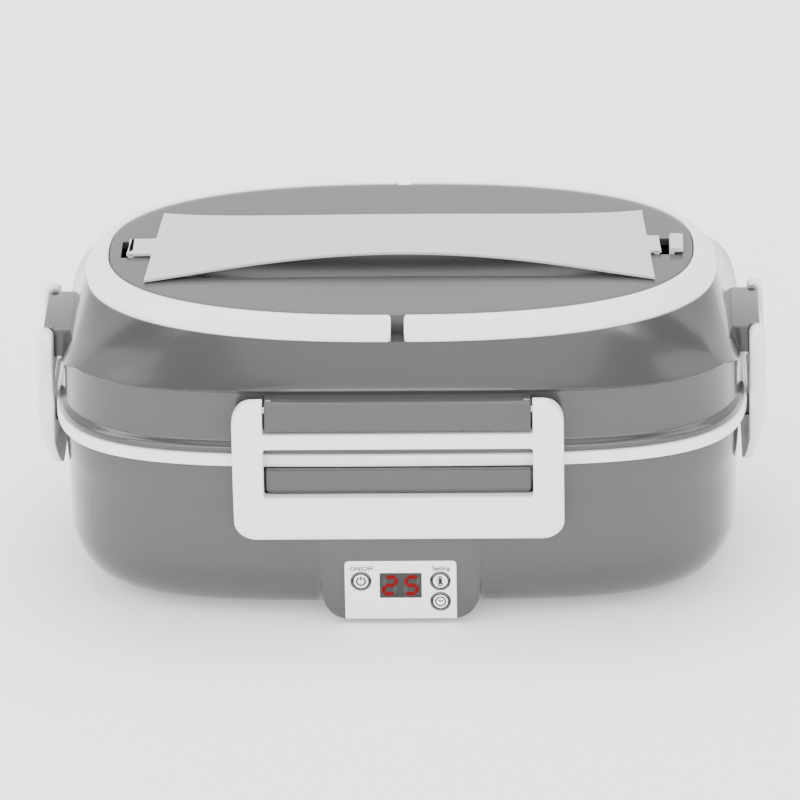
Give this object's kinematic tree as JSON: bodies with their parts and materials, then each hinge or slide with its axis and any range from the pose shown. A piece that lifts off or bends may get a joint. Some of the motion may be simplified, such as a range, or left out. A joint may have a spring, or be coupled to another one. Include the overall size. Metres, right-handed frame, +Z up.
{
  "type": "electric lunch box",
  "caption": "Two-tone grey heated lunch box: lidded base with lift-out steel pan, fold-down clip latches on every side, a flexible strap handle and a small front control panel.",
  "frame": {"origin": "middle of the footprint, on the surface that the feet stand on", "axes": "+X to the user's right, -Y to the front with the control panel, +Z up"},
  "size_m": [0.2414, 0.1594, 0.1092],
  "materials": {
    "body_grey": "semi-gloss moulded polypropylene",
    "light_grey": "semi-gloss moulded polypropylene",
    "top_grey": "glossy moulded polypropylene",
    "panel_plastic": "glossy moulded plastic",
    "display": "dark tinted acrylic",
    "black_plastic": "matt moulded",
    "board": "solder-masked laminate",
    "ceramic": "unglazed ceramic and insulating wrap",
    "lead_sleeve": "silicone sleeve",
    "foot_rubber": "matt moulded rubber",
    "seal_rubber": "matt silicone",
    "steel": "zinc-plated",
    "pan_steel": "satin stainless sheet",
    "aluminium": "pressed sheet",
    "brass": "plated"
  },
  "bodies": {
    "base": {"base_shell": "body_grey", "inner_tub": "light_grey", "heating_plate": "aluminium", "ptc_heater": "ceramic", "heater_clamp": "steel", "clamp_screws": "steel", "thermal_fuse": "ceramic", "temperature_sensor": "black_plastic", "control_board": "board", "board_screws": "steel", "display_module": "black_plastic", "control_panel": "panel_plastic", "display_window": "display", "button_switches": "black_plastic", "power_inlet": "black_plastic", "inlet_pins": "brass", "mains_leads": "lead_sleeve", "heater_leads": "lead_sleeve", "feet": "foot_rubber", "base_screws": "steel"},
    "container": {"food_container": "pan_steel"},
    "lid": {"lid_shell": "body_grey", "lid_liner": "light_grey", "lid_seal": "seal_rubber", "liner_screws": "steel", "top_panel": "top_grey", "trim_ring_left": "light_grey", "trim_ring_right": "light_grey", "hinge_bar_front": "body_grey", "hinge_bar_rear": "body_grey", "hinge_bar_left": "body_grey", "hinge_bar_right": "body_grey", "latch_pin_front": "steel", "latch_pin_rear": "steel", "latch_pin_left": "steel", "latch_pin_right": "steel"},
    "handle": {"handle_strap": "light_grey"},
    "latch_front": {"latch_front": "light_grey"},
    "latch_rear": {"latch_rear": "light_grey"},
    "latch_left": {"latch_left": "light_grey"},
    "latch_right": {"latch_right": "light_grey"},
    "power_button": {"power_button": "panel_plastic"},
    "temperature_button": {"temperature_button": "panel_plastic"},
    "timer_button": {"timer_button": "panel_plastic"}
  },
  "joints": [
    {"name": "container_lift", "type": "slide", "parent": "base", "child": "container", "axis": [0, 0, 1], "range_m": [0, 0.18]},
    {"name": "lid_lift", "type": "slide", "parent": "container", "child": "lid", "axis": [0, 0, 1], "range_m": [0, 0.18]},
    {"name": "handle_lift", "type": "slide", "parent": "lid", "child": "handle", "axis": [0, 0, 1], "range_m": [0, 0.0065]},
    {"name": "latch_front_hinge", "type": "hinge", "parent": "lid", "child": "latch_front", "pos_m": [0, -0.07625, 0.079], "axis": [-1, 0, 0], "range_deg": [0, 105]},
    {"name": "latch_rear_hinge", "type": "hinge", "parent": "lid", "child": "latch_rear", "pos_m": [0, 0.07625, 0.079], "axis": [1, 0, 0], "range_deg": [0, 105]},
    {"name": "latch_left_hinge", "type": "hinge", "parent": "lid", "child": "latch_left", "pos_m": [-0.11725, 0, 0.079], "axis": [0, 1, 0], "range_deg": [0, 105]},
    {"name": "latch_right_hinge", "type": "hinge", "parent": "lid", "child": "latch_right", "pos_m": [0.11725, 0, 0.079], "axis": [0, -1, 0], "range_deg": [0, 105]},
    {"name": "power_button_press", "type": "slide", "parent": "base", "child": "power_button", "axis": [0, 1, 0], "range_m": [0, 0.0008], "stiffness_N_per_m": 400},
    {"name": "temperature_button_press", "type": "slide", "parent": "base", "child": "temperature_button", "axis": [0, 1, 0], "range_m": [0, 0.0008], "stiffness_N_per_m": 400},
    {"name": "timer_button_press", "type": "slide", "parent": "base", "child": "timer_button", "axis": [0, 1, 0], "range_m": [0, 0.0008], "stiffness_N_per_m": 400}
  ]
}
